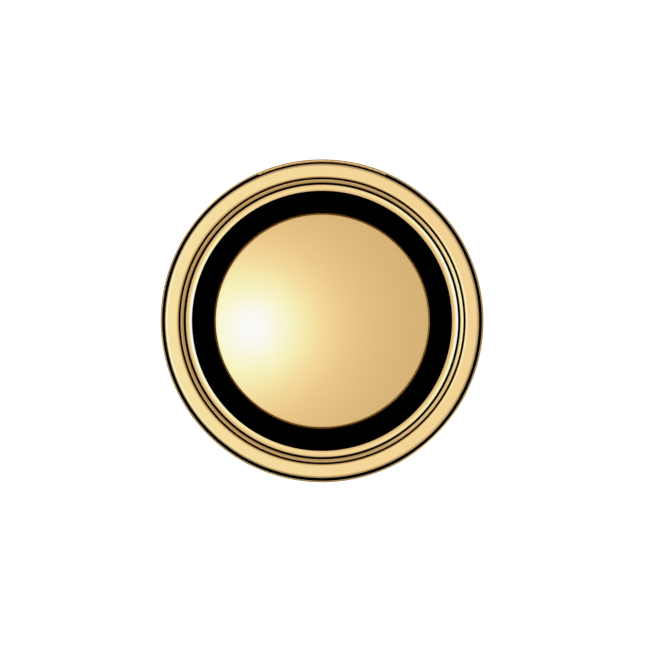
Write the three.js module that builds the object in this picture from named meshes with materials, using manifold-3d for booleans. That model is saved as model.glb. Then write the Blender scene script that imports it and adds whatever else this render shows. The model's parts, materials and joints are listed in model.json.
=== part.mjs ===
// Coin capsule: a round, gold-coloured screw capsule for one coin, with a clear window on each side.
// Millimetres, +Z up. The capsule lies on its back: the base rests on z = 0 and the lid screws on from above.
import * as THREE from 'three';
import { mergeVertices } from 'three/addons/utils/BufferGeometryUtils.js';
import Module from 'manifold-3d';

const wasm = await Module();
wasm.setup();

// ---------- driving dimensions ----------

const OUTER_RADIUS = 24.5;        // the base's lip, the widest part
const LIP_WALL = 0.2;             // thin edge that stands up around the lid
const LIP_FALL = 0.15;            // how far its top slopes down outwards
const SEAL_SHOW = 0.56;           // ring of the black seal left in view between lip and lid
const LAND_WIDTH = 0.18;          // how much wider the lip is over its witness land
const LAND_DEPTH = 0.5;           // height of the land's inner wall
const LAND_ARC = 47;              // degrees that the land runs around, centred on +Y
const LID_BAND = 2.09;            // wide flat band of the lid
const RUNNING_GAP = 0.28;         // between the lid and the window cartridge, which doesn't turn
const CARTRIDGE_EDGE = 0.42;      // thin sloping edge of the cartridge
const GASKET_SHOW = 0.38;         // black gasket left in view around the retaining ring
const COVE_BAND = 0.87;           // hollow-faced retaining ring
const COVE_DEPTH = 0.03;
const EDGE_FALL = 0.25;           // of the cartridge's edge, towards the window

const COIN_RADIUS = 16.35;
const COIN_EDGE_HEIGHT = 1.4;     // at its rim, before the crown starts
const COIN_CROWN = 1.5;           // how far the face domes above the rim
const COIN_ROUNDING = 0.65;       // of the rim into the face
const INSERT_RADIUS = 19.8;
const INSERT_GRIP = 0.05;         // between the coin and the insert's hole

const FLOOR = 1.2;                // base's flange under the rear window
const GASKET_THICKNESS = 0.3;
const WINDOW_THICKNESS = 1.2;
const REST_GAP = 0.05;            // between pieces that rest on each other
const RETAINER_HEIGHT = 1.2;

const THREAD_STARTS = 6;
const THREAD_LEAD = 14;           // rise in one turn: a quick thread, undone by a third of a turn
const THREAD_ROOT = 22.0;         // the neck's wall between its threads
const THREAD_CREST = 22.6;
const THREAD_CLEARANCE = 0.15;    // between each crest and the root that it faces
const THREAD_SWEEP = 54;          // degrees that each rib runs around
const RIB_ROOT = 1.15;            // height of a rib where it leaves the wall
const RIB_CREST = 0.75;           // and at its crest

const SEGMENTS = 60;              // around every turned piece
const FULL_TURN = 2 * Math.PI;
const SINK = 0.3;                 // how far a rib reaches into its wall, so that the join is clean

// ---------- radii, from the outside in ----------

const lipInner = OUTER_RADIUS - LIP_WALL;
const lidOuter = lipInner - SEAL_SHOW;
const lidInner = lidOuter - LID_BAND;
const edgeOuter = lidInner - RUNNING_GAP;
const edgeInner = edgeOuter - CARTRIDGE_EDGE;
const coveOuter = edgeInner - GASKET_SHOW;
const coveInner = coveOuter - COVE_BAND;

const lidBore = THREAD_CREST + THREAD_CLEARANCE;
const lidThreadCrest = THREAD_ROOT + THREAD_CLEARANCE;
const flangeRadius = lidThreadCrest - 0.1;    // the cartridge passes between the lid's threads
const windowPocket = edgeInner - 0.05;
const windowRadius = windowPocket - GASKET_THICKNESS - REST_GAP;
const ledgeInner = INSERT_RADIUS + 0.1;
const rearOpening = 18.6;
const reliefRadius = THREAD_ROOT - 0.5;       // the neck's top, narrowed to clear the snap ring

// ---------- heights, from the bottom up ----------

const rearGasketBottom = FLOOR + REST_GAP;
const rearWindowBottom = rearGasketBottom + GASKET_THICKNESS + REST_GAP;
const rearWindowTop = rearWindowBottom + WINDOW_THICKNESS;
const rearRetainerBottom = rearWindowTop + REST_GAP;
const insertBottom = rearRetainerBottom;
const insertTop = insertBottom + 4.2;
const coinBottom = insertTop - 1.7;
const coinRim = coinBottom + COIN_EDGE_HEIGHT;

const sealBottom = 3.25;
const rabbetFloor = sealBottom - REST_GAP;
const sealTop = 3.9;
const lidBottom = sealTop + REST_GAP;
const lipTop = sealTop + 1.0;
const threadStart = 4.8;                      // mid height of each rib at its low end
const threadRise = THREAD_LEAD * THREAD_SWEEP / 360;
const threadTop = threadStart + threadRise + RIB_ROOT / 2;
const snapRingBottom = threadTop + 0.1;
const snapRingTop = snapRingBottom + 0.4;
const neckTop = snapRingTop;
const flangeBottom = snapRingTop + 0.1;
const flangeTop = flangeBottom + 0.6;
const slipGasketTop = flangeTop + REST_GAP + 0.4;
const lidWebBottom = slipGasketTop + REST_GAP;
const lidTop = lidWebBottom + 2.2;

const frontGasketBottom = flangeTop + REST_GAP;
const frontWindowBottom = frontGasketBottom + GASKET_THICKNESS + REST_GAP;
const frontWindowTop = frontWindowBottom + WINDOW_THICKNESS;
const frontRetainerBottom = frontWindowTop + REST_GAP;
const coveRimTop = lidTop - 0.35;
const gasketShowTop = frontRetainerBottom + 0.3;
const edgeTop = lidTop - 0.2;

// ---------- materials ----------

function material(color, roughness, metalness, opacity = 1) {
  return new THREE.MeshStandardMaterial({
    color, roughness, metalness, opacity, transparent: opacity < 1,
  });
}

const satinGold = () => material(0xe3b872, 0.25, 1);
const coinGold = () => material(0xe8bd78, 0.3, 1);
const blackRubber = () => material(0x050505, 0.7, 0);
const blackFoam = () => material(0x030303, 0.95, 0);
const clearAcrylic = () => material(0xf4f8fa, 0.05, 0, 0.2);
const springSteel = () => material(0x9a9ca0, 0.35, 1);

// ---------- geometry helpers ----------

const point = (radius, height) => new THREE.Vector2(radius, height);

// Turns every face outwards: the volume that the faces enclose comes out negative when they point in.
function facingOut(geometry) {
  const place = geometry.attributes.position;
  const index = geometry.index.array;
  const corners = [new THREE.Vector3(), new THREE.Vector3(), new THREE.Vector3()];
  let volume = 0;
  for (let i = 0; i < index.length; i += 3) {
    corners.forEach((corner, k) => corner.fromBufferAttribute(place, index[i + k]));
    volume += corners[0].dot(corners[1].cross(corners[2]));
  }
  if (volume < 0) {
    for (let i = 0; i < index.length; i += 3) {
      [index[i], index[i + 1]] = [index[i + 1], index[i]];
    }
  }
  return geometry;
}

// One closed mesh with shared vertices, as a boolean needs it.
function welded(geometry) {
  geometry.deleteAttribute('normal');
  geometry.deleteAttribute('uv');
  return facingOut(mergeVertices(geometry, 1e-4));
}

// A body of revolution around Z, from its (radius, height) outline.
function turned(outline) {
  const onAxis = outline[0].x === 0;
  const closed = onAxis ? outline : [...outline, outline[0].clone()];
  const geometry = new THREE.LatheGeometry(closed, SEGMENTS);
  geometry.rotateX(Math.PI / 2);
  return welded(geometry);
}

// Points of a circular arc in the outline, from one angle in degrees to another.
function arc(centreRadius, centreHeight, radius, from, to, steps) {
  return Array.from({ length: steps + 1 }, (_, i) => {
    const angle = THREE.MathUtils.degToRad(from + (to - from) * i / steps);
    return point(centreRadius + radius * Math.cos(angle), centreHeight + radius * Math.sin(angle));
  });
}

// A plain ring of rectangular section.
function washer(inner, outer, bottom, top) {
  return turned([point(inner, bottom), point(outer, bottom), point(outer, top), point(inner, top)]);
}

// A flat disc with a small bevel on both of its edges.
function disc(radius, bottom, top, bevel) {
  return turned([
    point(0, bottom),
    point(radius - bevel, bottom),
    point(radius, bottom + bevel),
    point(radius, top - bevel),
    point(radius - bevel, top),
    point(0, top),
  ]);
}

function solidFrom(geometry) {
  return new wasm.Manifold(new wasm.Mesh({
    numProp: 3,
    vertProperties: new Float32Array(geometry.attributes.position.array),
    triVerts: new Uint32Array(geometry.index.array),
  }));
}

function geometryFrom(solid) {
  const mesh = solid.getMesh();
  const geometry = new THREE.BufferGeometry();
  geometry.setAttribute('position', new THREE.BufferAttribute(mesh.vertProperties, 3));
  geometry.setIndex(new THREE.BufferAttribute(mesh.triVerts, 1));
  return geometry;
}

// One helical thread rib. Its section is extruded straight, with depth standing for the angle around
// the axis, and then wound up: x becomes the radius and depth the turn and the rise.
// The rib sinks back into its wall over its first and last few degrees.
function threadRib(wallRadius, crestRadius, startAngle) {
  const outwards = Math.sign(crestRadius - wallRadius);
  const section = new THREE.Shape([
    point(-SINK, -RIB_ROOT / 2),
    point(Math.abs(crestRadius - wallRadius), -RIB_CREST / 2),
    point(Math.abs(crestRadius - wallRadius), RIB_CREST / 2),
    point(-SINK, RIB_ROOT / 2),
  ]);
  const sweep = THREE.MathUtils.degToRad(THREAD_SWEEP);
  const steps = Math.round(THREAD_SWEEP * SEGMENTS / 360);
  const geometry = new THREE.ExtrudeGeometry(section, { depth: sweep, steps, bevelEnabled: false });
  const place = geometry.attributes.position;
  for (let i = 0; i < place.count; i += 1) {
    const turn = place.getZ(i);
    const fromEnd = Math.min(turn, sweep - turn) / sweep * steps;
    const height = Math.max(0, place.getX(i)) * Math.min(1, 0.2 + 0.8 * fromEnd);
    const radius = wallRadius + outwards * (place.getX(i) > 0 ? height : place.getX(i));
    const rise = threadStart + THREAD_LEAD * turn / FULL_TURN;
    const angle = startAngle + turn;
    place.setXYZ(i, radius * Math.cos(angle), radius * Math.sin(angle), rise + place.getY(i));
  }
  return welded(geometry);
}

// All the ribs of one thread, joined to the wall that carries them.
function threaded(wall, wallRadius, crestRadius, firstAngle) {
  let solid = solidFrom(wall);
  for (let start = 0; start < THREAD_STARTS; start += 1) {
    const angle = firstAngle + start * FULL_TURN / THREAD_STARTS;
    solid = solid.add(solidFrom(threadRib(wallRadius, crestRadius, angle)));
  }
  return geometryFrom(solid);
}

// ---------- base ----------

// A short arc inside the lip where it is wider, which marks the side of the capsule that is up.
function witnessLand() {
  const halfArc = THREE.MathUtils.degToRad(LAND_ARC / 2);
  const [from, to] = [Math.PI / 2 - halfArc, Math.PI / 2 + halfArc];
  const outline = new THREE.Shape();
  outline.absarc(0, 0, lipInner + LIP_WALL / 2, from, to, false);
  outline.absarc(0, 0, lipInner - LAND_WIDTH, to, from, true);
  outline.closePath();
  const geometry = new THREE.ExtrudeGeometry(outline, {
    depth: LAND_DEPTH, bevelEnabled: false, curveSegments: 8,
  });
  geometry.translate(0, 0, lipTop - LIP_FALL / 2 - LAND_DEPTH);
  return welded(geometry);
}

// Cup with a windowed floor, a threaded neck and, outside the neck, a rabbet for the lid's seal.
function baseShell() {
  const footChamfer = 0.8;
  const openingBevel = 0.5;
  const neckBore = windowPocket;
  const wall = turned([
    point(rearOpening + openingBevel, 0),
    point(OUTER_RADIUS - footChamfer, 0),
    point(OUTER_RADIUS, footChamfer),
    point(OUTER_RADIUS, lipTop - LIP_FALL),
    point(lipInner + 0.02, lipTop),
    point(lipInner, lipTop),
    point(lipInner, rabbetFloor),
    point(THREAD_ROOT, rabbetFloor),
    point(THREAD_ROOT, threadTop),
    point(reliefRadius, threadTop + 0.05),
    point(reliefRadius, neckTop),
    point(neckBore, neckTop),
    point(neckBore, FLOOR),
    point(rearOpening, FLOOR),
    point(rearOpening, openingBevel),
  ]);
  const shell = threaded(wall, THREAD_ROOT, THREAD_CREST, 0);
  return geometryFrom(solidFrom(shell).add(solidFrom(witnessLand())));
}

const rearWindowGasket = () => washer(
  rearOpening + 0.3, windowPocket - 0.1, rearGasketBottom, rearGasketBottom + GASKET_THICKNESS,
);

const rearWindow = () => disc(windowRadius, rearWindowBottom, rearWindowTop, 0.15);

// Bears on the rim of the rear window and leaves room for the insert inside it.
const rearRetainingRing = () => washer(
  ledgeInner, windowPocket - REST_GAP, rearRetainerBottom, rearRetainerBottom + RETAINER_HEIGHT,
);

const bodySealRing = () => washer(
  THREAD_ROOT + 0.05, lipInner - 0.05, sealBottom, sealTop,
);

// ---------- what the capsule holds ----------

const insertRing = () => washer(COIN_RADIUS + INSERT_GRIP, INSERT_RADIUS, insertBottom, insertTop);

// A plain disc with a flat back and a crowned face. The crown is one spherical cap, which leaves
// the rounded rim at the rim's own slope.
function coinBlank() {
  const crownRim = COIN_RADIUS - COIN_ROUNDING;
  const rimTop = coinRim + COIN_ROUNDING * 0.5;
  const crown = COIN_CROWN - COIN_ROUNDING * 0.5;
  const sphere = (crownRim ** 2 + crown ** 2) / (2 * crown);
  const crownSteps = 5;
  const face = Array.from({ length: crownSteps + 1 }, (_, i) => {
    const radius = crownRim * (1 - i / crownSteps);
    return point(radius, rimTop + crown - sphere + Math.sqrt(sphere ** 2 - radius ** 2));
  });
  return turned([
    point(0, coinBottom),
    point(COIN_RADIUS - 0.3, coinBottom),
    point(COIN_RADIUS, coinBottom + 0.3),
    point(COIN_RADIUS, coinRim - 0.3),
    point(COIN_RADIUS - 0.25, coinRim + 0.15),
    ...face,
  ]);
}

// ---------- window cartridge: rises with the lid, but doesn't turn ----------

// Ledge for the window inside, flange for the lid outside, and the thin edge that shows on the face.
function cartridgeRing() {
  return turned([
    point(ledgeInner, flangeBottom),
    point(flangeRadius, flangeBottom),
    point(flangeRadius, flangeTop),
    point(edgeOuter, flangeTop),
    point(edgeOuter, edgeTop),
    point(edgeInner, edgeTop - EDGE_FALL),
    point(edgeInner, flangeTop),
    point(ledgeInner, flangeTop),
  ]);
}

// L section: flat under the window, and standing up around its rim into the gap that shows.
function frontWindowGasket() {
  return turned([
    point(ledgeInner + 0.1, frontGasketBottom),
    point(windowPocket, frontGasketBottom),
    point(windowPocket, gasketShowTop),
    point(windowPocket - GASKET_THICKNESS, gasketShowTop),
    point(windowPocket - GASKET_THICKNESS, frontGasketBottom + GASKET_THICKNESS),
    point(ledgeInner + 0.1, frontGasketBottom + GASKET_THICKNESS),
  ]);
}

const frontWindow = () => disc(windowRadius, frontWindowBottom, frontWindowTop, 0.15);

// Its face is a shallow cove between two rims.
function frontRetainingRing() {
  const halfWidth = COVE_BAND / 2;
  const middle = coveInner + halfWidth;
  const radius = (halfWidth ** 2 + COVE_DEPTH ** 2) / (2 * COVE_DEPTH);
  const half = THREE.MathUtils.radToDeg(Math.asin(halfWidth / radius));
  return turned([
    point(coveInner, frontRetainerBottom),
    point(windowRadius, frontRetainerBottom),
    point(windowRadius, gasketShowTop + 0.05),
    point(coveOuter, gasketShowTop + 0.1),
    ...arc(middle, coveRimTop - COVE_DEPTH + radius, radius, -90 + half, -90 - half, 4),
  ]);
}

const slipGasket = () => washer(
  edgeOuter + 0.05, flangeRadius - 0.02, flangeTop + REST_GAP, slipGasketTop,
);

// ---------- lid ----------

// Split spring ring, sprung into the lid's groove under the cartridge's flange.
function snapRing() {
  const inner = reliefRadius + 0.1;
  const outer = lidBore + 0.3;
  const halfOpening = THREE.MathUtils.degToRad(12);
  const outline = new THREE.Shape();
  outline.absarc(0, 0, outer, halfOpening, FULL_TURN - halfOpening, false);
  outline.absarc(0, 0, inner, FULL_TURN - halfOpening, halfOpening, true);
  outline.closePath();
  const geometry = new THREE.ExtrudeGeometry(outline, {
    depth: snapRingTop - snapRingBottom, bevelEnabled: false, curveSegments: SEGMENTS - 4,
  });
  geometry.translate(0, 0, snapRingBottom);
  return welded(geometry);
}

// Screw ring with a flat, round-edged band on its face, a thread inside its skirt and the groove
// for the snap ring above the thread.
function lidRing() {
  const rounding = 0.35;
  const grooveRadius = lidBore + 0.4;
  const grooveBottom = snapRingBottom - 0.04;
  const grooveTop = snapRingTop + 0.04;
  const wall = turned([
    point(lidBore + 0.2, lidBottom),
    point(lidOuter - 0.2, lidBottom),
    point(lidOuter, lidBottom + 0.2),
    ...arc(lidOuter - rounding, lidTop - rounding, rounding, 0, 90, 3),
    ...arc(lidInner + rounding, lidTop - rounding, rounding, 90, 180, 3),
    point(lidInner, lidWebBottom),
    point(lidBore, lidWebBottom),
    point(lidBore, grooveTop),
    point(grooveRadius, grooveTop),
    point(grooveRadius, grooveBottom),
    point(lidBore, grooveBottom),
    point(lidBore, lidBottom + 0.2),
  ]);
  return threaded(wall, lidBore, lidThreadCrest, FULL_TURN / THREAD_STARTS / 2);
}

// ---------- assembly ----------

const capsule = new THREE.Group();

function place(name, geometry, finish) {
  const mesh = new THREE.Mesh(geometry, finish);
  mesh.name = name;
  capsule.add(mesh);
}

place('base_shell', baseShell(), satinGold());
place('rear_window_gasket', rearWindowGasket(), blackRubber());
place('rear_window', rearWindow(), clearAcrylic());
place('rear_retaining_ring', rearRetainingRing(), satinGold());
place('body_seal_ring', bodySealRing(), blackRubber());
place('insert_ring', insertRing(), blackFoam());
place('coin_blank', coinBlank(), coinGold());
place('cartridge_ring', cartridgeRing(), satinGold());
place('front_window_gasket', frontWindowGasket(), blackRubber());
place('front_window', frontWindow(), clearAcrylic());
place('front_retaining_ring', frontRetainingRing(), satinGold());
place('slip_gasket', slipGasket(), blackRubber());
place('snap_ring', snapRing(), springSteel());
place('lid_ring', lidRing(), satinGold());

export default capsule;
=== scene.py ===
# %% [markdown]
# # A coin capsule
# A coin capsule is a small round case that shows one coin and keeps fingers and air off it. This one
# is a gold-coloured screw capsule: a base with a threaded neck, a screw ring as its lid, a clear window
# on each side, and a black foam ring that grips the coin's edge. The CAD model settles every size and
# every joint. This lesson builds the fine meshes and the finishes around it.

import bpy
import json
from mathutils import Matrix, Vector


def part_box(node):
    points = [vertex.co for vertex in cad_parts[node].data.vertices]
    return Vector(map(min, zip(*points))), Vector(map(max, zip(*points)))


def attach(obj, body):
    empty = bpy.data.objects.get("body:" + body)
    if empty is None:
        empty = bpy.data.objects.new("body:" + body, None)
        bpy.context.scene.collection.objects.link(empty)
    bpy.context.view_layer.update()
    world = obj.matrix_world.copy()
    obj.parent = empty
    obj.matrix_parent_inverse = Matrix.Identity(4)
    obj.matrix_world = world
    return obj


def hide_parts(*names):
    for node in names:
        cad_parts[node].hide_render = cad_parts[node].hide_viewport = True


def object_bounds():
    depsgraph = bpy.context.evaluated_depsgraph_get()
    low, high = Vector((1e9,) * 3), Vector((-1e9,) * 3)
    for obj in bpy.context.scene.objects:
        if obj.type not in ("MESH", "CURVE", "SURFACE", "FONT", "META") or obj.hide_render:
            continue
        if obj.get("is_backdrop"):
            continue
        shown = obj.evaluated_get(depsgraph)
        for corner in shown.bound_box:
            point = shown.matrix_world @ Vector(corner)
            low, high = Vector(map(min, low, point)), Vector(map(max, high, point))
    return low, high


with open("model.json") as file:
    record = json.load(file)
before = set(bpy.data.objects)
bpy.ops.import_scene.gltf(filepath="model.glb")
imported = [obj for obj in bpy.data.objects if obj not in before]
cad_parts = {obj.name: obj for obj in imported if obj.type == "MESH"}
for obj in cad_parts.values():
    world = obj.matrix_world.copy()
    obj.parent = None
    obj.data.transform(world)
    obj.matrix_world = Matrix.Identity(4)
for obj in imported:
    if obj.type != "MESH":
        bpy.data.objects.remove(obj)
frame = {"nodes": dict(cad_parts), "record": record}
cad_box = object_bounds()

# %% Tools and units
import json
import math

import bmesh
import bpy
from mathutils import Vector

MM = 0.001  # outlines are written in millimetres, and everything in the scene is in metres
NEAR = 0.004 * MM  # two points closer than this are the same place

# %% [markdown]
# ## Reading the CAD pieces
# Every piece is round, so two radii and two heights say where it is. The CAD meshes are turned in 60
# steps with their corners on the true circle, so the smallest and largest corner radius are the real
# radii. Measuring them here keeps the new meshes in step with the CAD.


# %% Measure a round CAD piece
def measure(node):
    """Inner radius, outer radius, bottom and top of a round CAD node, in metres."""
    low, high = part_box(node)
    radii = [Vector(v.co[:2]).length for v in frame["nodes"][node].data.vertices]
    return min(radii), max(radii), low[2], high[2]


for node in sorted(frame["nodes"]):
    print(node, *(f"{value / MM:.2f}" for value in measure(node)))

# %% [markdown]
# ## The camera
# The capsule lies on its back and the camera looks straight down on its face. A long lens from two
# metres away keeps the lid's edge from hiding the thin lip of the base, which lies lower.

# %% Camera straight above the capsule
FRAME_WIDTH = 98.3 * MM  # what the picture takes in at the height of the capsule's face
LENS = 800.0
SENSOR = 36.0
CAPSULE_OFFSET = (-0.45 * MM, 0.63 * MM)  # the capsule sits a little left of and above the middle

lid_top = measure("lid_ring")[3]
camera_data = bpy.data.cameras.new("camera")
camera_data.lens = LENS
camera_data.sensor_width = SENSOR
camera_data.clip_end = 20.0
camera = bpy.data.objects.new("camera", camera_data)
camera.location = (-CAPSULE_OFFSET[0], -CAPSULE_OFFSET[1], lid_top + FRAME_WIDTH * LENS / SENSOR)
bpy.context.scene.collection.objects.link(camera)
bpy.context.scene.camera = camera
bpy.context.scene.view_settings.view_transform = "Standard"
print(f"camera {camera.location.z:.2f} m up")

# %% [markdown]
# ## Turning pieces as on a lathe
# Real capsule parts are turned from bar or tube. The same way of working suits Blender: start with one
# circle, then extrude it along the outline of the section and widen or narrow it at each step. Sharp
# corners are picked afterwards by their place and bevelled. A spun profile would give the same shape,
# but this way each step can be read as a cut of the tool.


# %% Start, shape and finish a turned piece
CORNERS_AROUND = 240  # in each circle of a piece without reeds


def only(piece):
    """Makes one object the only one selected, and active."""
    bpy.ops.object.select_all(action="DESELECT")
    piece.select_set(True)
    bpy.context.view_layer.objects.active = piece


def keep_place(piece):
    """Moves the object's place into its mesh, so that the object sits at the origin."""
    only(piece)
    bpy.ops.object.transform_apply(location=True, rotation=True, scale=True)


def first_circle(name, radius, height, around):
    """A piece that is one circle so far, with this many corners around."""
    bpy.ops.object.select_all(action="DESELECT")
    bpy.ops.mesh.primitive_circle_add(vertices=around, radius=radius, location=(0, 0, height))
    piece = bpy.context.object
    piece.name = name
    keep_place(piece)
    return piece


def cut_along(outline):
    """Extrudes the selected circle through the rest of the outline's (radius, height) points."""
    for (radius, height), (next_radius, next_height) in zip(outline, outline[1:]):
        rise = (0, 0, next_height - height)
        bpy.ops.mesh.extrude_region_move(TRANSFORM_OT_translate={"value": rise})
        scale = next_radius / radius
        bpy.ops.transform.resize(value=(scale, scale, 1), center_override=(0, 0, next_height))


def close_mesh():
    """Joins what meets, and points the faces outwards."""
    bpy.ops.mesh.select_all(action="SELECT")
    bpy.ops.mesh.remove_doubles(threshold=NEAR / 4)
    bpy.ops.mesh.normals_make_consistent(inside=False)


def turned_ring(name, outline, around=CORNERS_AROUND):
    """A ring whose outline comes back to its start."""
    piece = first_circle(name, *outline[0], around)
    bpy.ops.object.mode_set(mode="EDIT")
    bpy.ops.mesh.select_all(action="SELECT")
    cut_along([*outline, outline[0]])
    close_mesh()
    bpy.ops.object.mode_set(mode="OBJECT")
    return piece


def turned_disc(name, outline, around=CORNERS_AROUND):
    """A solid disc: the first and the last circle are filled from the middle."""
    piece = first_circle(name, *outline[0], around)
    bpy.ops.object.mode_set(mode="EDIT")
    bpy.ops.mesh.select_all(action="SELECT")
    cut_along(outline)
    for radius, height in (outline[-1], outline[0]):
        pick_circles([(radius, height)])
        bpy.ops.mesh.extrude_region_move(TRANSFORM_OT_translate={"value": (0, 0, 0)})
        bpy.ops.mesh.merge(type="CENTER")
    close_mesh()
    bpy.ops.object.mode_set(mode="OBJECT")
    return piece


# %% Pick circles by their place
def is_at(vertex, radius, height):
    """Whether a corner lies this far from the axis and this high."""
    return abs(vertex.co.xy.length - radius) < NEAR and abs(vertex.co.z - height) < NEAR


def pick_circles(places):
    """Selects the edges that run round the axis at each (radius, height)."""
    mesh = bmesh.from_edit_mesh(bpy.context.object.data)
    bpy.ops.mesh.select_mode(type="EDGE")
    bpy.ops.mesh.select_all(action="DESELECT")
    found = False
    for edge in mesh.edges:
        if any(all(is_at(vertex, *place) for vertex in edge.verts) for place in places):
            edge.select_set(True)
            found = True
    bmesh.update_edit_mesh(bpy.context.object.data)
    if not found:
        raise ValueError(f"no circle at {places}")


def round_over(piece, places, size, segments=3, profile=0.5):
    """Bevels the circles at these places; a profile above a half is tighter in the middle."""
    only(piece)
    bpy.ops.object.mode_set(mode="EDIT")
    pick_circles(places)
    bpy.ops.mesh.bevel(offset=size, segments=segments, profile=profile, affect="EDGES")
    bpy.ops.object.mode_set(mode="OBJECT")


def smooth(piece, angle=32):
    """Smooth shading, with edges steeper than the angle in degrees left crisp."""
    only(piece)
    bpy.ops.object.shade_smooth_by_angle(angle=math.radians(angle))
    print(f"{piece.name}: {len(piece.data.polygons)} faces")
    return piece


def in_metres(outline):
    """The same (radius, height) points, from millimetres to metres."""
    return [(radius * MM, height * MM) for radius, height in outline]


# %% [markdown]
# ## A reeded grip
# The lid and the base are turned by hand, so their sides are reeded like a coin's edge: fine upright
# ridges all the way round. The side is first turned with two plain circles close above each other at
# each end of the grip. Then the corners between them are pulled in towards the axis, some by half the
# depth and every fourth by all of it, which leaves rounded ridges that run out at both ends.

# %% Press reeds into a turned side
REEDS = 144
REED_DEPTH = 0.2 * MM
POINTS_PER_REED = 4


def pull_in(low, high, radius, turn, depth):
    """Moves the corners of one step in every reed towards the axis by depth."""
    mesh = bmesh.from_edit_mesh(bpy.context.object.data)
    bpy.ops.mesh.select_mode(type="VERT")
    bpy.ops.mesh.select_all(action="DESELECT")
    around = REEDS * POINTS_PER_REED
    for vertex in mesh.verts:
        if low <= vertex.co.z <= high and abs(vertex.co.xy.length - radius) < NEAR:
            place = round(math.atan2(vertex.co.y, vertex.co.x) / math.tau * around)
            vertex.select_set(place % POINTS_PER_REED in turn)
    bmesh.update_edit_mesh(bpy.context.object.data)
    scale = (radius - depth) / radius
    bpy.ops.transform.resize(value=(scale, scale, 1), center_override=(0, 0, 0))


def reed(piece, radius, low, high):
    """Presses the reeds into the side between two circles of corners."""
    only(piece)
    bpy.ops.object.mode_set(mode="EDIT")
    pull_in(low - NEAR, high + NEAR, radius, (2,), REED_DEPTH)
    pull_in(low - NEAR, high + NEAR, radius, (1, 3), REED_DEPTH / 2)
    bpy.ops.object.mode_set(mode="OBJECT")


# %% [markdown]
# ## Threads
# The lid's thread has six starts and rises 14 mm in one turn, so a third of a turn undoes it. Each rib
# is a small four-sided section carried up and around by a Screw modifier. Its ends are narrowed
# towards the wall, as a cutter runs out, and a Boolean joins all six ribs to the wall in one skin.

# %% Wind the six ribs of a thread
THREAD_STARTS = 6
THREAD_LEAD = 14 * MM
THREAD_SWEEP = math.radians(54)
RIB_ROOT = 1.15 * MM
RIB_CREST = 0.75 * MM
RIB_SINK = 0.3 * MM  # how far its root reaches into the wall
RIB_LOW_END = 4.8 * MM  # height of its middle where it starts
RIB_STEPS = 27
RUN_OUT_STEPS = 3
RUN_OUT_END = 0.2  # share of the rib's depth that is left at its very end


def rib_section(name, wall, crest):
    """A flat four-sided section that stands upright beside the axis, wide at the wall."""
    outward = 1 if crest > wall else -1
    root = wall - outward * RIB_SINK
    bpy.ops.object.select_all(action="DESELECT")
    bpy.ops.mesh.primitive_plane_add(size=1, rotation=(math.pi / 2, 0, 0))
    rib = bpy.context.object
    rib.name = name
    rib.scale = (abs(crest - root), RIB_ROOT, 1)
    rib.location = ((crest + root) / 2, 0, RIB_LOW_END)
    keep_place(rib)
    bpy.ops.object.mode_set(mode="EDIT")
    mesh = bmesh.from_edit_mesh(rib.data)
    bpy.ops.mesh.select_mode(type="VERT")
    bpy.ops.mesh.select_all(action="DESELECT")
    for vertex in mesh.verts:
        vertex.select_set(abs(vertex.co.x - crest) < NEAR)
    bmesh.update_edit_mesh(rib.data)
    narrow = RIB_CREST / RIB_ROOT
    bpy.ops.transform.resize(value=(1, 1, narrow), center_override=(0, 0, RIB_LOW_END))
    bpy.ops.mesh.select_all(action="SELECT")
    bpy.ops.mesh.delete(type="ONLY_FACE")
    bpy.ops.object.mode_set(mode="OBJECT")
    return rib


def run_out(rib, wall, crest):
    """Narrows the rib's crest towards its wall over the steps next to both ends."""
    bpy.ops.object.mode_set(mode="EDIT")
    bpy.ops.mesh.select_mode(type="VERT")
    for step in range(RUN_OUT_STEPS):
        kept = RUN_OUT_END + (1 - RUN_OUT_END) * step / RUN_OUT_STEPS
        mesh = bmesh.from_edit_mesh(rib.data)
        bpy.ops.mesh.select_all(action="DESELECT")
        ends = [step, RIB_STEPS - step]
        for vertex in mesh.verts:
            place = round(math.atan2(vertex.co.y, vertex.co.x) / THREAD_SWEEP * RIB_STEPS)
            at_crest = abs(vertex.co.xy.length - crest) < NEAR
            vertex.select_set(at_crest and place in ends)
        bmesh.update_edit_mesh(rib.data)
        scale = (wall + (crest - wall) * kept) / crest
        bpy.ops.transform.resize(value=(scale, scale, 1), center_override=(0, 0, 0))
    bpy.ops.mesh.select_all(action="SELECT")
    bpy.ops.mesh.fill_holes(sides=4)
    bpy.ops.mesh.normals_make_consistent(inside=False)
    bpy.ops.object.mode_set(mode="OBJECT")


def wind_ribs(name, wall, crest, first_turn):
    """Six equal ribs around the axis, as one object."""
    rib = rib_section(name, wall, crest)
    screw = rib.modifiers.new("wind", "SCREW")
    screw.angle = THREAD_SWEEP
    screw.screw_offset = THREAD_LEAD * THREAD_SWEEP / math.tau
    screw.steps = screw.render_steps = RIB_STEPS
    only(rib)
    bpy.ops.object.modifier_apply(modifier=screw.name)
    run_out(rib, wall, crest)
    ribs = [rib]
    for start in range(1, THREAD_STARTS):
        copy = rib.copy()
        copy.data = rib.data.copy()
        bpy.context.scene.collection.objects.link(copy)
        copy.rotation_euler.z = math.tau * start / THREAD_STARTS
        ribs.append(copy)
    bpy.ops.object.select_all(action="DESELECT")
    for each in ribs:
        each.select_set(True)
    bpy.context.view_layer.objects.active = rib
    bpy.ops.object.transform_apply(location=True, rotation=True, scale=True)
    bpy.ops.object.join()
    rib.rotation_euler.z = first_turn
    keep_place(rib)
    return rib


def join_to(piece, addition):
    """Unites a closed mesh with the piece and removes it."""
    union = piece.modifiers.new("join", "BOOLEAN")
    union.operation = "UNION"
    union.solver = "EXACT"
    union.object = addition
    only(piece)
    bpy.ops.object.modifier_apply(modifier=union.name)
    bpy.data.objects.remove(addition)


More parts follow.
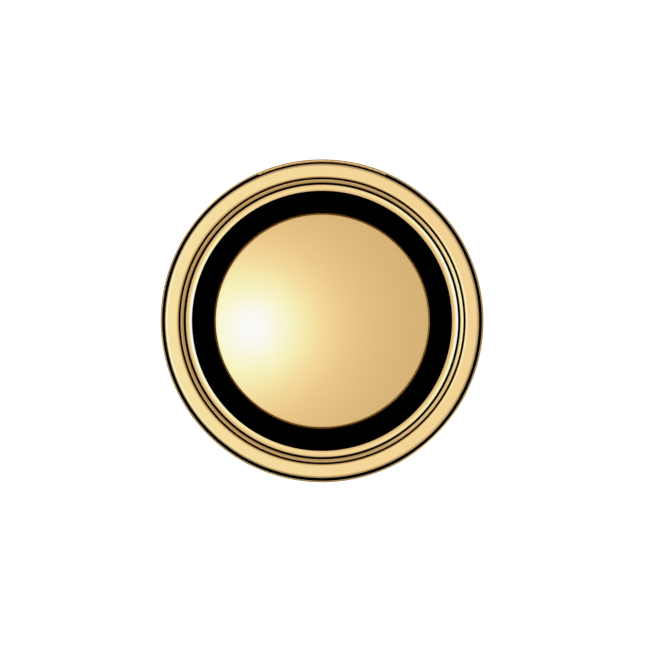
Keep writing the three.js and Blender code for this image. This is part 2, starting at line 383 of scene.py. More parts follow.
# %% [markdown]
# ## The base
# The base is one turned part. From below it shows a flat ring to stand on, with a bevelled opening for
# the rear window. From the side it shows a reeded grip under a thin lip. Inside the lip lies the rabbet
# for the lid's seal, and inside that the threaded neck, which is narrowed at its top to clear the
# lid's snap ring. Over a short arc the lip is wider: a witness land, which marks the side that is up.

# %% Turn the base
_, outer_radius, _, neck_top = measure("base_shell")
outer = outer_radius / MM
neck_height = neck_top / MM
LIP_WALL = 0.2
LIP_FALL = 0.13  # how far the lip's top slopes down outwards
LIP_CREST = 0.04  # width of its level part
NECK_RADIUS = 22.0
NECK_RELIEF = 21.5
NECK_BORE = 20.9
FLOOR_HEIGHT = 1.2
OPENING_RADIUS = 18.6
OPENING_BEVEL = 0.5
OPENING_ROUNDING = 0.12
FOOT_CHAMFER = 0.8
FOOT_ROUNDING = 0.25
LIP_TOP = 4.9
NECK_ROUNDING = 0.1
NECK_THREAD_CREST = 22.6
THREAD_TOP = 7.475
THREAD_TOP_SLOPE = 0.05  # how far the step above the thread rises inwards
RABBET_FLOOR = 3.2
BASE_GRIP = (1.25, 4.05)  # lowest and highest point of the reeds
GRIP_RUN_OUT = 0.15

base_outline = [
    (OPENING_RADIUS + OPENING_BEVEL, 0),
    (outer - FOOT_CHAMFER, 0),
    (outer, FOOT_CHAMFER),
    (outer, BASE_GRIP[0]),
    (outer, BASE_GRIP[0] + GRIP_RUN_OUT),
    (outer, BASE_GRIP[1] - GRIP_RUN_OUT),
    (outer, BASE_GRIP[1]),
    (outer, LIP_TOP - LIP_FALL),
    (outer - LIP_WALL + LIP_CREST, LIP_TOP),
    (outer - LIP_WALL, LIP_TOP),
    (outer - LIP_WALL, RABBET_FLOOR),
    (NECK_RADIUS, RABBET_FLOOR),
    (NECK_RADIUS, THREAD_TOP),
    (NECK_RELIEF, THREAD_TOP + THREAD_TOP_SLOPE),
    (NECK_RELIEF, neck_height),
    (NECK_BORE, neck_height),
    (NECK_BORE, FLOOR_HEIGHT),
    (OPENING_RADIUS, FLOOR_HEIGHT),
    (OPENING_RADIUS, OPENING_BEVEL),
]
base = turned_ring("gold_base", in_metres(base_outline), REEDS * POINTS_PER_REED)
for corners, rounding in (
    ([(outer - FOOT_CHAMFER, 0), (outer, FOOT_CHAMFER)], FOOT_ROUNDING),
    ([(OPENING_RADIUS + OPENING_BEVEL, 0)], OPENING_ROUNDING),
    ([(NECK_RELIEF, neck_height), (NECK_BORE, neck_height)], NECK_ROUNDING),
):
    round_over(base, in_metres(corners), rounding * MM)
reed(base, outer_radius, (BASE_GRIP[0] + GRIP_RUN_OUT) * MM, (BASE_GRIP[1] - GRIP_RUN_OUT) * MM)
neck_thread = wind_ribs("neck_thread", NECK_RADIUS * MM, NECK_THREAD_CREST * MM, first_turn=0.0)
join_to(base, neck_thread)
print(f"{base.name}: {2 * outer:.1f} mm across")

# %% Add the witness land to the base's lip
LAND_WIDTH = 0.18
LAND_DEPTH = 0.5
LAND_SINK = 0.04  # how far it reaches into the lip
LAND_BELOW_LIP = 0.02
LAND_ROUNDING = 0.02
LAND_ARC = math.radians(47)
LAND_STEPS = 48


def swept_arc(name, inner, outer_edge, low, high, arc, steps, rounding):
    """A bar of rectangular section, swept anticlockwise round the axis from the +X direction."""
    bpy.ops.object.select_all(action="DESELECT")
    bpy.ops.mesh.primitive_plane_add(size=1, rotation=(math.pi / 2, 0, 0))
    bar = bpy.context.object
    bar.name = name
    bar.scale = (outer_edge - inner, high - low, 1)
    bar.location = ((outer_edge + inner) / 2, 0, (high + low) / 2)
    keep_place(bar)
    bpy.ops.object.mode_set(mode="EDIT")
    bpy.ops.mesh.select_all(action="SELECT")
    bpy.ops.mesh.bevel(offset=rounding, segments=2, affect="VERTICES")
    bpy.ops.mesh.spin(steps=steps, angle=arc, center=(0, 0, 0), axis=(0, 0, -1))
    close_mesh()
    bpy.ops.object.mode_set(mode="OBJECT")
    return bar


lip_inner = outer - LIP_WALL
land_top = LIP_TOP - LAND_BELOW_LIP
land = swept_arc(
    "witness_land",
    (lip_inner - LAND_WIDTH) * MM,
    (lip_inner + LAND_SINK) * MM,
    (land_top - LAND_DEPTH) * MM,
    land_top * MM,
    LAND_ARC,
    LAND_STEPS,
    LAND_ROUNDING * MM,
)
land.rotation_euler.z = math.pi / 2 - LAND_ARC / 2
keep_place(land)
join_to(base, land)
smooth(base)

# %% [markdown]
# ## The lid ring
# The lid is a ring too: a broad band on its face with both edges softly rounded, a reeded side, and
# inside it the matching thread. A groove above the thread takes the snap ring. The band gets an extra
# circle just beside each rounding, which keeps the smooth shading of the roundings off its flat part.

# %% Turn the lid ring
_, lid_radius, lid_bottom, _ = measure("lid_ring")
lid = lid_radius / MM
lid_low = lid_bottom / MM
lid_high = lid_top / MM
BAND_INNER = 21.65
BAND_FALL = 0.014  # how much lower the band is at its outer edge
BAND_ROUNDING = 0.37
BAND_PROFILE = 0.63
BAND_GUARD = 0.41  # distance of the extra circles from the band's edges
LID_CHAMFER = 0.2
LID_BORE = 22.75
LID_THREAD_CREST = 22.15
LID_WEB = 9.175
SNAP_GROOVE = (7.535, 8.015)
SNAP_GROOVE_RADIUS = 23.15
LID_GRIP = (5.35, 10.1)


def band_height(radius):
    """Height of the band's gently sloping face at this radius."""
    return lid_high - BAND_FALL * (radius - BAND_INNER) / (lid - BAND_INNER)


lid_outline = [
    (LID_BORE + LID_CHAMFER, lid_low),
    (lid - LID_CHAMFER, lid_low),
    (lid, lid_low + LID_CHAMFER),
    (lid, LID_GRIP[0]),
    (lid, LID_GRIP[0] + GRIP_RUN_OUT),
    (lid, LID_GRIP[1] - GRIP_RUN_OUT),
    (lid, LID_GRIP[1]),
    (lid, lid_high - BAND_FALL),
    (lid - BAND_GUARD, band_height(lid - BAND_GUARD)),
    (BAND_INNER + BAND_GUARD, band_height(BAND_INNER + BAND_GUARD)),
    (BAND_INNER, lid_high),
    (BAND_INNER, LID_WEB),
    (LID_BORE, LID_WEB),
    (LID_BORE, SNAP_GROOVE[1]),
    (SNAP_GROOVE_RADIUS, SNAP_GROOVE[1]),
    (SNAP_GROOVE_RADIUS, SNAP_GROOVE[0]),
    (LID_BORE, SNAP_GROOVE[0]),
    (LID_BORE, lid_low + LID_CHAMFER),
]
lid_ring = turned_ring("gold_lid_ring", in_metres(lid_outline), REEDS * POINTS_PER_REED)
face_edges = in_metres([(lid, lid_high - BAND_FALL), (BAND_INNER, lid_high)])
round_over(lid_ring, face_edges, BAND_ROUNDING * MM, segments=8, profile=BAND_PROFILE)
reed(lid_ring, lid_radius, (LID_GRIP[0] + GRIP_RUN_OUT) * MM, (LID_GRIP[1] - GRIP_RUN_OUT) * MM)
half_pitch = math.pi / THREAD_STARTS
lid_thread = wind_ribs("lid_thread", LID_BORE * MM, LID_THREAD_CREST * MM, first_turn=half_pitch)
join_to(lid_ring, lid_thread)
smooth(lid_ring)

# %% [markdown]
# ## The window cartridge
# The front window sits in a thin ring of its own, which rises with the lid but doesn't turn, so its
# gasket isn't twisted. All that shows of it on the face is its upper edge, which slopes towards the
# window. A narrow ring with a hollow face is pressed in on top of the window. Between these rings,
# dark slots about a third of a millimetre wide go down to the black gaskets.

# %% Turn the cartridge ring
ledge_inner, flange_outer, flange_bottom, edge_top = (
    value / MM for value in measure("cartridge_ring")
)
EDGE_OUTER = 21.37
EDGE_INNER = 20.95
EDGE_FALL = 0.285  # how much lower the sloping edge is on its inner side
EDGE_ROUNDING = 0.04
FLANGE_HEIGHT = 0.6
FLANGE_ROUNDING = 0.1
flange_top = flange_bottom + FLANGE_HEIGHT

cartridge_outline = [
    (ledge_inner, flange_bottom),
    (flange_outer, flange_bottom),
    (flange_outer, flange_top),
    (EDGE_OUTER, flange_top),
    (EDGE_OUTER, edge_top),
    (EDGE_INNER, edge_top - EDGE_FALL),
    (EDGE_INNER, flange_top),
    (ledge_inner, flange_top),
]
cartridge = turned_ring("gold_cartridge_ring", in_metres(cartridge_outline))
flange_edges = [(flange_outer, flange_bottom), (flange_outer, flange_top)]
round_over(cartridge, in_metres(flange_edges), FLANGE_ROUNDING * MM)
round_over(cartridge, in_metres([(EDGE_OUTER, edge_top)]), EDGE_ROUNDING * MM, segments=2)
smooth(cartridge)

# %% Turn the coved retaining ring
cove_inner, cove_outer, cove_bottom, cove_top = (
    value / MM for value in measure("front_retaining_ring")
)
window_radius = measure("front_window")[1] / MM
COVE_DEPTH = 0.03
COVE_STEPS = 12
COVE_NECK = 10.725  # height at which the ring widens above its gasket
COVE_NECK_SLOPE = 0.05


def cove(inner, outer_edge, top, depth, steps):
    """Points of a hollow circular arc from the outer rim to the inner one."""
    middle = (inner + outer_edge) / 2
    half = (outer_edge - inner) / 2
    radius = (half**2 + depth**2) / (2 * depth)
    for step in range(steps + 1):
        across = half * (1 - 2 * step / steps)
        yield middle + across, top - depth + radius - math.sqrt(radius**2 - across**2)


cove_outline = [
    (cove_inner, cove_bottom),
    (window_radius, cove_bottom),
    (window_radius, COVE_NECK - COVE_NECK_SLOPE),
    (cove_outer, COVE_NECK),
    *cove(cove_inner, cove_outer, cove_top, COVE_DEPTH, COVE_STEPS),
]
cove_ring = turned_ring("gold_cove_ring", in_metres(cove_outline))
smooth(cove_ring, angle=40)

# %% [markdown]
# ## Windows
# Both windows are plain discs of clear acrylic, with a small polished bevel around both faces.

# %% Cut the two windows
WINDOW_BEVEL = 0.15


def window(name, node):
    """A bevelled disc in the place of this CAD node."""
    _, radius, low, high = (value / MM for value in measure(node))
    outline = [
        (radius - WINDOW_BEVEL, low),
        (radius, low + WINDOW_BEVEL),
        (radius, high - WINDOW_BEVEL),
        (radius - WINDOW_BEVEL, high),
    ]
    return smooth(turned_disc(name, in_metres(outline)), angle=20)


front_window = window("front_window_pane", "front_window")
rear_window = window("rear_window_pane", "rear_window")

# %% [markdown]
# ## Gaskets and seals
# The black rings are cut from rubber sheet, apart from the L-shaped one around the front window, which
# is moulded. Each gets softly rounded edges, because rubber has no sharp ones. The CAD model keeps a
# small gap around rubber; the real ring is squeezed until it fills it, so the outer rims go that far.

# %% Cut the flat rubber rings
RUBBER_ROUNDING = 0.05
SQUEEZE = 0.045 * MM


def rubber_ring(name, node):
    """A flat ring with rounded edges, squeezed outwards until it fills its seat."""
    inner, outer_edge, low, high = measure(node)
    outer_edge += SQUEEZE
    corners = [(inner, low), (outer_edge, low), (outer_edge, high), (inner, high)]
    ring = turned_ring(name, corners)
    round_over(ring, corners, RUBBER_ROUNDING * MM, segments=2)
    return smooth(ring)


body_seal = rubber_ring("rubber_body_seal", "body_seal_ring")
rear_gasket = rubber_ring("rubber_rear_gasket", "rear_window_gasket")
slip_gasket = rubber_ring("rubber_slip_gasket", "slip_gasket")

# %% Mould the L-shaped gasket
gasket_inner, gasket_outer, gasket_bottom, gasket_top = (
    value / MM for value in measure("front_window_gasket")
)
gasket_outer += SQUEEZE / MM
GASKET_WALL = 0.3 + SQUEEZE / MM
gasket_outline = [
    (gasket_inner, gasket_bottom),
    (gasket_outer, gasket_bottom),
    (gasket_outer, gasket_top),
    (gasket_outer - GASKET_WALL, gasket_top),
    (gasket_outer - GASKET_WALL, gasket_bottom + GASKET_WALL),
    (gasket_inner, gasket_bottom + GASKET_WALL),
]
front_gasket = turned_ring("rubber_front_gasket", in_metres(gasket_outline))
gasket_corners = [gasket_outline[i] for i in (1, 2, 3)]
round_over(front_gasket, in_metres(gasket_corners), RUBBER_ROUNDING * MM, segments=2)
smooth(front_gasket)

# %% [markdown]
# ## Rear retaining ring and snap ring
# A plain gold-coloured ring is pressed into the base over the rear window. The snap ring is a flat
# spring-steel ring with a gap, so that it can be squeezed together to go into its groove in the lid.

# %% Turn the rear retaining ring
RETAINER_ROUNDING = 0.15
inner, outer_edge, low, high = measure("rear_retaining_ring")
retainer_corners = [(inner, low), (outer_edge, low), (outer_edge, high), (inner, high)]
rear_retainer = turned_ring("gold_rear_retainer", retainer_corners)
round_over(rear_retainer, retainer_corners[2:], RETAINER_ROUNDING * MM)
smooth(rear_retainer)

# %% Sweep the snap ring
_, _, snap_bottom, snap_top = measure("snap_ring")
SNAP_INNER = 21.6 * MM
SNAP_OUTER = 23.05 * MM
SNAP_ROUNDING = 0.06 * MM
SNAP_GAP = math.radians(24)
SNAP_STEPS = 168

snap_ring = swept_arc(
    "steel_snap_ring",
    SNAP_INNER,
    SNAP_OUTER,
    snap_bottom,
    snap_top,
    math.tau - SNAP_GAP,
    SNAP_STEPS,
    SNAP_ROUNDING,
)
snap_ring.rotation_euler.z = SNAP_GAP / 2
keep_place(snap_ring)
smooth(snap_ring)

# %% [markdown]
# ## Foam insert
# The insert is a ring punched from black closed-cell foam. Its hole is cut a little too small for the
# coin, so it is stretched around the edge and grips it, and below the coin the foam springs back
# inwards. The punch drags the skin of the foam down with it, so its edges are rounded, and its face
# swells very slightly between them.

# %% Punch and swell the foam ring
foam_inner, foam_outer, foam_bottom, foam_top = measure("insert_ring")
FOAM_ROUNDING = 0.45 * MM
FOAM_SWELL = 0.12 * MM
FOAM_LOOPS = 8
_, coin_radius, coin_bottom, coin_top = (value / MM for value in measure("coin_blank"))
COIN_EDGE = 0.3  # chamfer around the coin's back
SKIN_GAP = 0.01  # kept between the coin's edge and the foam
SHELF_GAP = 0.04  # kept below the coin's back
SHELF_SHARE = 0.9  # how much of the coin's chamfer the foam follows
SPRING_BACK = 0.35
grip = coin_radius + SKIN_GAP

foam_corners = [
    (foam_inner, foam_bottom),
    (foam_outer, foam_bottom),
    (foam_outer, foam_top - FOAM_SWELL),
    (foam_inner, foam_top - FOAM_SWELL),
]
foam_hole = in_metres(
    [
        (grip, coin_bottom + 2 * COIN_EDGE),
        (grip, coin_bottom + COIN_EDGE),
        (grip - COIN_EDGE * SHELF_SHARE, coin_bottom - SHELF_GAP),
        (coin_radius - SPRING_BACK, coin_bottom - COIN_EDGE),
        (coin_radius - SPRING_BACK, foam_bottom / MM + 2 * COIN_EDGE),
    ]
)
foam = turned_ring("foam_insert", [*foam_corners, *foam_hole])
round_over(foam, foam_corners[1:], FOAM_ROUNDING, segments=5)


def on_face(place):
    """Whether a corner of the foam lies on its upper face."""
    return abs(place.z - foam_corners[2][1]) < NEAR


only(foam)
bpy.ops.object.mode_set(mode="EDIT")
mesh = bmesh.from_edit_mesh(foam.data)
bpy.ops.mesh.select_mode(type="EDGE")
bpy.ops.mesh.select_all(action="DESELECT")
for edge in mesh.edges:
    ends = [vertex.co for vertex in edge.verts]
    across = abs(ends[0].xy.length - ends[1].xy.length)
    edge.select_set(all(on_face(end) for end in ends) and across > FOAM_ROUNDING)
bmesh.update_edit_mesh(foam.data)
bpy.ops.mesh.subdivide_edgering(number_cuts=FOAM_LOOPS - 1, interpolation="LINEAR")
bpy.ops.object.mode_set(mode="OBJECT")
for vertex in foam.data.vertices:
    share = (vertex.co.xy.length - foam_inner) / (foam_outer - foam_inner)
    if on_face(vertex.co) and 0 < share < 1:
        vertex.co.z += FOAM_SWELL * math.sin(math.pi * share)
smooth(foam, angle=60)

# %% [markdown]
# ## The coin blank
# A real coin's relief isn't part of a capsule, so the coin here is a plain blank: a flat back with a
# chamfer around it, a straight rim and a face that domes like a lens. One arc makes the dome, and a
# second, much tighter one rolls it over into the rim.

# %% Turn the coin
DOME_HEIGHT = 1.2
ROLL_WIDTH = 0.46
ROLL_RADIUS = 0.92
ROLL_STEPS = 8
DOME_STEPS = 24
DOME_GUARD = 0.997  # where the dome's first short step ends, as a share of its radius
dome_rim = coin_radius - ROLL_WIDTH


def domed_face():
    """Points from the rim to just beside the middle: a rolled edge, then one spherical dome.

    The short first step on the dome keeps the smooth shading of the rolled edge off it.
    """
    sphere = (dome_rim**2 + DOME_HEIGHT**2) / (2 * DOME_HEIGHT)
    rim_slope = math.asin(dome_rim / sphere)
    roll_across = dome_rim - ROLL_RADIUS * math.sin(rim_slope)
    roll_height = coin_top - DOME_HEIGHT - ROLL_RADIUS * math.cos(rim_slope)
    edge_slope = math.asin((coin_radius - roll_across) / ROLL_RADIUS)
    for step in range(ROLL_STEPS):
        slope = edge_slope + (rim_slope - edge_slope) * step / ROLL_STEPS
        yield roll_across + ROLL_RADIUS * math.sin(slope), roll_height + ROLL_RADIUS * math.cos(slope)
    for share in (1, DOME_GUARD, *(1 - step / DOME_STEPS for step in range(1, DOME_STEPS))):
        across = dome_rim * share
        yield across, coin_top - sphere + math.sqrt(sphere**2 - across**2)


coin_outline = [
    (coin_radius - COIN_EDGE, coin_bottom),
    (coin_radius, coin_bottom + COIN_EDGE),
    *domed_face(),
]
coin = turned_disc("coin", in_metres(coin_outline), around=288)
smooth(coin, angle=40)

# %% [markdown]
# ## Which piece stands for which CAD part
# Every new piece takes the place of one CAD node and rides on that node's body, so that it moves
# with the joints. Its finish is given further down, under Finishes.

# %% Tie the pieces to the frame
stands_for = {
    "base_shell": base,
    "rear_window_gasket": rear_gasket,
    "rear_window": rear_window,
    "rear_retaining_ring": rear_retainer,
    "body_seal_ring": body_seal,
    "insert_ring": foam,
    "coin_blank": coin,
    "cartridge_ring": cartridge,
    "front_window_gasket": front_gasket,
    "front_window": front_window,
    "front_retaining_ring": cove_ring,
    "slip_gasket": slip_gasket,
    "snap_ring": snap_ring,
    "lid_ring": lid_ring,
}
for body, nodes in frame["record"]["behaviour"]["bodies"].items():
    for node in nodes:
        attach(stands_for[node], body)
        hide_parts(node)

# %% [markdown]
# ## Shared effects
# Three effects turn up in more than one finish, so each is a node group: the fine rings that a
# lathe tool leaves, a soft cloudiness from handling, and a grain of small cells. Each reads the
# Object coordinates, in metres, and gives values and normals only. The shaders stay in the materials.


# %% Helpers for node groups
def new_group(name, inputs, outputs):
    """An empty shader node group with float inputs and typed outputs."""
    group = bpy.data.node_groups.new(name, "ShaderNodeTree")
    for label, value in inputs.items():
        socket = group.interface.new_socket(label, in_out="INPUT", socket_type="NodeSocketFloat")
        socket.default_value = value
    for label, kind in outputs.items():
        group.interface.new_socket(label, in_out="OUTPUT", socket_type=kind)
    return group, group.nodes.new("NodeGroupInput"), group.nodes.new("NodeGroupOutput")


def add_maths(tree, operation, first, second=None):
    """A Math node whose inputs are sockets or numbers."""
    node = tree.nodes.new("ShaderNodeMath")
    node.operation = operation
    for socket, value in zip(node.inputs, (first, second)):
        if isinstance(value, bpy.types.NodeSocket):
            tree.links.new(value, socket)
        elif value is not None:
            socket.default_value = value
    return node.outputs[0]


def add_noise(tree, vector, scale, detail, roughness):
    """A Noise Texture; its scale is a socket or a number."""
    noise = tree.nodes.new("ShaderNodeTexNoise")
    noise.inputs["Detail"].default_value = detail
    noise.inputs["Roughness"].default_value = roughness
    tree.links.new(vector, noise.inputs["Vector"])
    if isinstance(scale, bpy.types.NodeSocket):
        tree.links.new(scale, noise.inputs["Scale"])
    else:
        noise.inputs["Scale"].default_value = scale
    return noise.outputs["Fac"]


def add_bump(tree, height, distance, strength):
    """The normal of a bump from a height socket, as strong as the strength socket says."""
    bump = tree.nodes.new("ShaderNodeBump")
    bump.inputs["Distance"].default_value = distance
    tree.links.new(strength, bump.inputs["Strength"])
    tree.links.new(height, bump.inputs["Height"])
    return bump.outputs["Normal"]


# %% Turning marks: fine rings around the axis
MARK_DEPTH = 0.01 * MM


def turning_marks():
    group, given, out = new_group(
        "Turning marks",
        {"Rings per metre": 9000.0, "Strength": 0.3},
        {"Rings": "NodeSocketFloat", "Normal": "NodeSocketVector"},
    )
    place = group.nodes.new("ShaderNodeTexCoord").outputs["Object"]
    split = group.nodes.new("ShaderNodeSeparateXYZ")
    group.links.new(place, split.inputs[0])
    square = add_maths(group, "MULTIPLY", split.outputs["X"], split.outputs["X"])
    other = add_maths(group, "MULTIPLY", split.outputs["Y"], split.outputs["Y"])
    radius = add_maths(group, "SQRT", add_maths(group, "ADD", square, other))
    section = group.nodes.new("ShaderNodeCombineXYZ")
    group.links.new(radius, section.inputs["X"])
    group.links.new(split.outputs["Z"], section.inputs["Z"])
    finely = given.outputs["Rings per metre"]
    rings = add_noise(group, section.outputs[0], finely, detail=3.0, roughness=0.6)
    normal = add_bump(group, rings, MARK_DEPTH, given.outputs["Strength"])
    group.links.new(rings, out.inputs["Rings"])
    group.links.new(normal, out.inputs["Normal"])
    return group


# %% Handling: soft clouds that dull the polish here and there
CLOUDS_PER_METRE = 160.0


def handling():
    group, given, out = new_group(
        "Handling", {"Low": 0.1, "High": 0.2}, {"Roughness": "NodeSocketFloat"}
    )
    place = group.nodes.new("ShaderNodeTexCoord").outputs["Object"]
    clouds = add_noise(group, place, CLOUDS_PER_METRE, detail=4.0, roughness=0.55)
    spread = group.nodes.new("ShaderNodeMapRange")
    spread.inputs["From Min"].default_value = 0.3
    spread.inputs["From Max"].default_value = 0.7
    group.links.new(clouds, spread.inputs["Value"])
    group.links.new(given.outputs["Low"], spread.inputs["To Min"])
    group.links.new(given.outputs["High"], spread.inputs["To Max"])
    group.links.new(spread.outputs[0], out.inputs["Roughness"])
    return group


# %% Grain: small cells for rubber, foam and the coin's satin
CELL_DEPTH = 0.05 * MM


def grain():
    group, given, out = new_group(
        "Grain",
        {"Cells per metre": 6000.0, "Strength": 0.3},
        {"Cells": "NodeSocketFloat", "Normal": "NodeSocketVector"},
    )
    place = group.nodes.new("ShaderNodeTexCoord").outputs["Object"]
    cells = group.nodes.new("ShaderNodeTexVoronoi")
    group.links.new(place, cells.inputs["Vector"])
    group.links.new(given.outputs["Cells per metre"], cells.inputs["Scale"])
    normal = add_bump(group, cells.outputs["Distance"], CELL_DEPTH, given.outputs["Strength"])
    group.links.new(cells.outputs["Distance"], out.inputs["Cells"])
    group.links.new(normal, out.inputs["Normal"])
    return group


groups = {"marks": turning_marks(), "handling": handling(), "grain": grain()}
print("groups:", ", ".join(group.name for group in groups.values()))

# %% [markdown]
# ## Finishes
# Each finish is one short function. Gold plating is a metal: all of its colour is in its reflections,
# so the base colour is what it keeps of white light. The turned parts are polished, and the coin has
# the softer satin of a struck blank. Foam and rubber are near black and hardly shine.


# %% Helpers for materials
def new_material(name, **constants):
    """A material with these inputs of its shader set; an underscore stands for a space."""
    material = bpy.data.materials.new(name)
    material.use_nodes = True
    shader = material.node_tree.nodes["Principled BSDF"]
    for label, value in constants.items():
        shader.inputs[label.replace("_", " ")].default_value = value
    return material, material.node_tree, shader


def use_group(tree, key, **values):
    """A node that holds one of the shared effects, with these inputs set."""
    node = tree.nodes.new("ShaderNodeGroup")
    node.node_tree = groups[key]
    for label, value in values.items():
        node.inputs[label.replace("_", " ")].default_value = value
    return node


def vary_colour(tree, shader, factor, dark, light):
    """Base colour that runs from dark to light as the factor goes from 0 to 1."""
    mix = tree.nodes.new("ShaderNodeMix")
    mix.data_type = "RGBA"
    mix.inputs["A"].default_value = (*dark, 1)
    mix.inputs["B"].default_value = (*light, 1)
    tree.links.new(factor, mix.inputs["Factor"])
    tree.links.new(mix.outputs["Result"], shader.inputs["Base Color"])


# %% Gold-plated turned parts
GOLD = (0.896, 0.623, 0.287)


def shade(colour, by):
    """The colour made lighter or darker by a factor."""
    return tuple(channel * by for channel in colour)


def turned_gold(name, low, high, marks):
    """Polished plating over turned brass: roughness between low and high, marks of this strength."""
    material, tree, shader = new_material(name, Metallic=1.0)
    lathe = use_group(tree, "marks", Rings_per_metre=14000.0, Strength=marks)
    touch = use_group(tree, "handling", Low=low, High=high)
    tree.links.new(lathe.outputs["Normal"], shader.inputs["Normal"])
    tree.links.new(touch.outputs["Roughness"], shader.inputs["Roughness"])
    vary_colour(tree, shader, lathe.outputs["Rings"], shade(GOLD, 0.97), shade(GOLD, 1.03))
    return material


# %% The coin's satin gold
def coin_gold():
    material, tree, shader = new_material("coin satin gold", Metallic=1.0)
    touch = use_group(tree, "handling", Low=0.12, High=0.15)
    tree.links.new(touch.outputs["Roughness"], shader.inputs["Roughness"])
    fine = use_group(tree, "grain", Cells_per_metre=9000.0, Strength=0.02)
    tree.links.new(fine.outputs["Normal"], shader.inputs["Normal"])
    vary_colour(tree, shader, fine.outputs["Cells"], shade(GOLD, 0.985), shade(GOLD, 1.015))
    return material


# %% Rubber, foam, acrylic and spring steel
MIRROR_POWER = 3.0  # how late the acrylic turns into a mirror
MIRROR_STRENGTH = 0.6


def black_rubber():
    material, tree, shader = new_material("black rubber", Roughness=0.6, Specular_IOR_Level=0.02)
    fine = use_group(tree, "grain", Cells_per_metre=8000.0, Strength=0.25)
    tree.links.new(fine.outputs["Normal"], shader.inputs["Normal"])
    vary_colour(tree, shader, fine.outputs["Cells"], (0.0006,) * 3, (0.0014,) * 3)
    return material


def black_foam():
    """Matt cells, with the faint bloom that foam shows at a flat angle."""
    material, tree, shader = new_material(
        "black foam", Roughness=0.95, Specular_IOR_Level=0.0, Sheen_Weight=0.025, Sheen_Roughness=0.3
    )
    cells = use_group(tree, "grain", Cells_per_metre=3500.0, Strength=0.5)
    tree.links.new(cells.outputs["Normal"], shader.inputs["Normal"])
    vary_colour(tree, shader, cells.outputs["Cells"], (0.0003,) * 3, (0.0008,) * 3)
    return material


def clear_acrylic():
    """Clear from straight above, and more and more of a mirror the flatter it is seen."""
    material, tree, shader = new_material("clear acrylic", Metallic=1.0, Base_Color=(1, 1, 1, 1))
    touch = use_group(tree, "handling", Low=0.02, High=0.06)
    tree.links.new(touch.outputs["Roughness"], shader.inputs["Roughness"])
    facing = tree.nodes.new("ShaderNodeLayerWeight").outputs["Facing"]
    slant = add_maths(tree, "POWER", facing, MIRROR_POWER)
    mirror = add_maths(tree, "MULTIPLY", slant, MIRROR_STRENGTH)
    clear = tree.nodes.new("ShaderNodeBsdfTransparent")
    either = tree.nodes.new("ShaderNodeMixShader")
    tree.links.new(mirror, either.inputs[0])
    tree.links.new(clear.outputs[0], either.inputs[1])
    tree.links.new(shader.outputs[0], either.inputs[2])
    tree.links.new(either.outputs[0], tree.nodes["Material Output"].inputs["Surface"])
    return material


def spring_steel():
    material, tree, shader = new_material("spring steel", Metallic=1.0)
    lathe = use_group(tree, "marks", Rings_per_metre=9000.0, Strength=0.5)
    touch = use_group(tree, "handling", Low=0.28, High=0.38)
    tree.links.new(lathe.outputs["Normal"], shader.inputs["Normal"])
    tree.links.new(touch.outputs["Roughness"], shader.inputs["Roughness"])
    vary_colour(tree, shader, lathe.outputs["Rings"], (0.4, 0.4, 0.42), (0.5, 0.5, 0.52))
    return material


# %% Give every piece its finish
shell_gold = turned_gold("polished gold shell", low=0.08, high=0.12, marks=0.04)
trim_gold = turned_gold("polished gold trim", low=0.08, high=0.12, marks=0.03)
rubber = black_rubber()
acrylic = clear_acrylic()
finishes = {
    shell_gold: (base, lid_ring),
    trim_gold: (cartridge, cove_ring, rear_retainer),
    coin_gold(): (coin,),
    rubber: (body_seal, rear_gasket, slip_gasket, front_gasket),
    black_foam(): (foam,),
    acrylic: (front_window, rear_window),
    spring_steel(): (snap_ring,),
}
for material, pieces in finishes.items():
    for piece in pieces:
        piece.data.materials.clear()
        piece.data.materials.append(material)
    print(material.name, "on", ", ".join(piece.name for piece in pieces))

# %% [markdown]
# ## Light
# Polished gold shows nothing but its surroundings, so the light is the sky around it rather than a few
# lamps: a soft dome, brightest overhead and falling off towards the horizon, with one small bright
# lamp and a wide soft panel to the left of straight up, and two panels low down, which show in the
# roundings and in slanting views. It is built from the direction alone, in the World's nodes. One level
# is worked out first and then coloured: dim parts are warmer, and where the lamp is strongest, red and
# green nearly stop rising and blue goes on, so the gold turns white under it.

# %% Helpers for the sky
world = bpy.data.worlds.new("studio")
bpy.context.scene.world = world
world.use_nodes = True
sky = world.node_tree
sky.nodes.clear()
direction = sky.nodes.new("ShaderNodeTexCoord").outputs["Generated"]


def distance_from(centre):
    """How far a direction is from the centre's direction, measured straight across the unit ball."""
    away = sky.nodes.new("ShaderNodeVectorMath")
    away.operation = "DISTANCE"
    sky.links.new(direction, away.inputs[0])
    away.inputs[1].default_value = Vector(centre).normalized()
    return away.outputs["Value"]


def lamp(centre, width, strength, fall):
    """A small bright core whose light falls off with a long tail."""
    across = add_maths(sky, "DIVIDE", distance_from(centre), width)
    spread = add_maths(sky, "ADD", add_maths(sky, "MULTIPLY", across, across), 1.0)
    return add_maths(sky, "MULTIPLY", add_maths(sky, "POWER", spread, -fall), strength)


def panel(centre, reach, strength):
    """A wide soft patch that ends at its reach."""
    fade = sky.nodes.new("ShaderNodeMapRange")
    fade.interpolation_type = "SMOOTHERSTEP"
    fade.inputs["From Max"].default_value = reach
    fade.inputs["To Min"].default_value = strength
    fade.inputs["To Max"].default_value = 0.0
    sky.links.new(distance_from(centre), fade.inputs["Value"])
    return fade.outputs[0]


def dome(levels):
    """Light that depends on the height alone, from (height on the unit ball, level) stops."""
    split = sky.nodes.new("ShaderNodeSeparateXYZ")
    sky.links.new(direction, split.inputs[0])
    ramp = sky.nodes.new("ShaderNodeValToRGB")
    elements = ramp.color_ramp.elements
    while len(elements) < len(levels):
        elements.new(0.5)
    for element, (height, level) in zip(elements, levels):
        element.position = height
        element.color = (level, level, level, 1)
    sky.links.new(split.outputs["Z"], ramp.inputs["Fac"])
    return ramp.outputs["Color"]


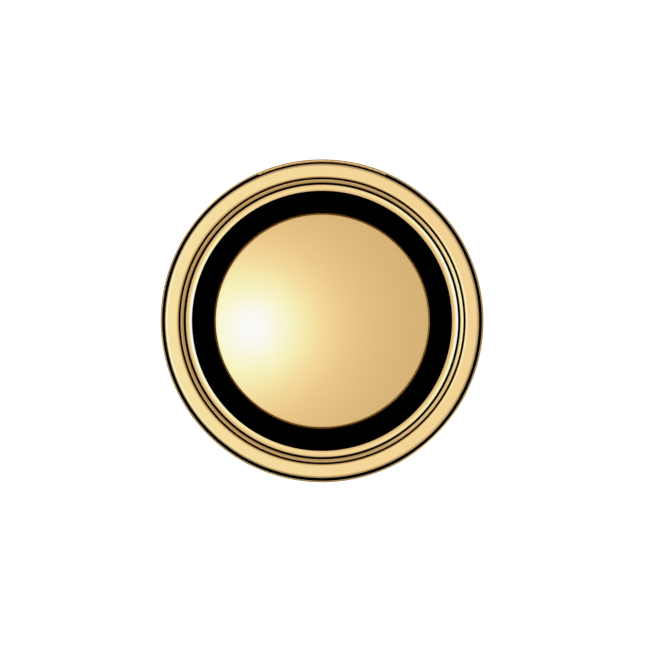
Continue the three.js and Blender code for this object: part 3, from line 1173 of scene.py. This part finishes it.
# %% Build the sky
DOME_LEVELS = [(0.0, 0.14), (0.3, 0.22), (0.59, 0.38), (0.8, 0.58), (0.96, 0.565), (1.0, 0.61)]
light = dome(DOME_LEVELS)
for part in (
    lamp((-0.2, -0.02, 0.979), width=0.098, strength=3.45, fall=1.14),
    panel((-0.7, -0.1, 0.7), reach=0.75, strength=1.3),
    panel((-0.656, 0.656, 0.375), reach=0.5, strength=0.55),
    panel((0.69, -0.69, 0.2), reach=0.34, strength=0.8),
):
    light = add_maths(sky, "ADD", light, part)

# %% Colour its levels
WARMTH = {"X": 0.66, "Y": 0.77}  # powers of the level
LIMITS = {"X": (0.98, 0.03), "Y": (1.4, 0.04)}  # where each channel ends, and its slow rise beyond
colour = sky.nodes.new("ShaderNodeCombineXYZ")
for channel, power in WARMTH.items():
    start, rise = LIMITS[channel]
    limit = add_maths(sky, "ADD", add_maths(sky, "MULTIPLY", light, rise), start)
    level = add_maths(sky, "MINIMUM", add_maths(sky, "POWER", light, power), limit)
    sky.links.new(level, colour.inputs[channel])
sky.links.new(light, colour.inputs["Z"])

backdrop = sky.nodes.new("ShaderNodeBackground")
backdrop.inputs["Color"].default_value = (1, 1, 1, 1)
surroundings = sky.nodes.new("ShaderNodeBackground")
sky.links.new(colour.outputs[0], surroundings.inputs["Color"])
seen = sky.nodes.new("ShaderNodeLightPath").outputs["Is Camera Ray"]
either = sky.nodes.new("ShaderNodeMixShader")
sky.links.new(seen, either.inputs[0])
sky.links.new(surroundings.outputs[0], either.inputs[1])
sky.links.new(backdrop.outputs[0], either.inputs[2])
world_out = sky.nodes.new("ShaderNodeOutputWorld")
sky.links.new(either.outputs[0], world_out.inputs["Surface"])
print("sky:", len(sky.nodes), "nodes")

# %% [markdown]
# ## Floor
# The floor is white paper. Seen straight, it glows up to pure white, so the picture has a clean
# ground with only a breath of contact shadow. Seen in the gold, it is plain paper in soft light.

# %% White paper floor
FLOOR_SIZE = 6.0
FLOOR_GAP = 0.01 * MM
FLOOR_GLOW = 0.84
bpy.ops.object.select_all(action="DESELECT")
bpy.ops.mesh.primitive_plane_add(size=FLOOR_SIZE, location=(0, 0, -FLOOR_GAP))
floor = bpy.context.object
floor.name = "paper_floor"
keep_place(floor)
paper, paper_tree, paper_shader = new_material(
    "white paper", Base_Color=(0.7, 0.7, 0.7, 1.0), Roughness=0.9, Emission_Color=(1, 1, 1, 1)
)
seen = paper_tree.nodes.new("ShaderNodeLightPath").outputs["Is Camera Ray"]
glow = add_maths(paper_tree, "MULTIPLY", seen, FLOOR_GLOW)
paper_tree.links.new(glow, paper_shader.inputs["Emission Strength"])
floor.data.materials.append(paper)
floor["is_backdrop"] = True

# %% [markdown]
# ## The two boxes
# The sizes of the CAD model's box and of the new pieces' box are printed one under the other.

# %% Print the sizes of both boxes
visual_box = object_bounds()
for label, (low_corner, high_corner) in (("CAD", cad_box), ("visual", visual_box)):
    print(label, *(f"{side / MM:.3f}" for side in high_corner - low_corner))
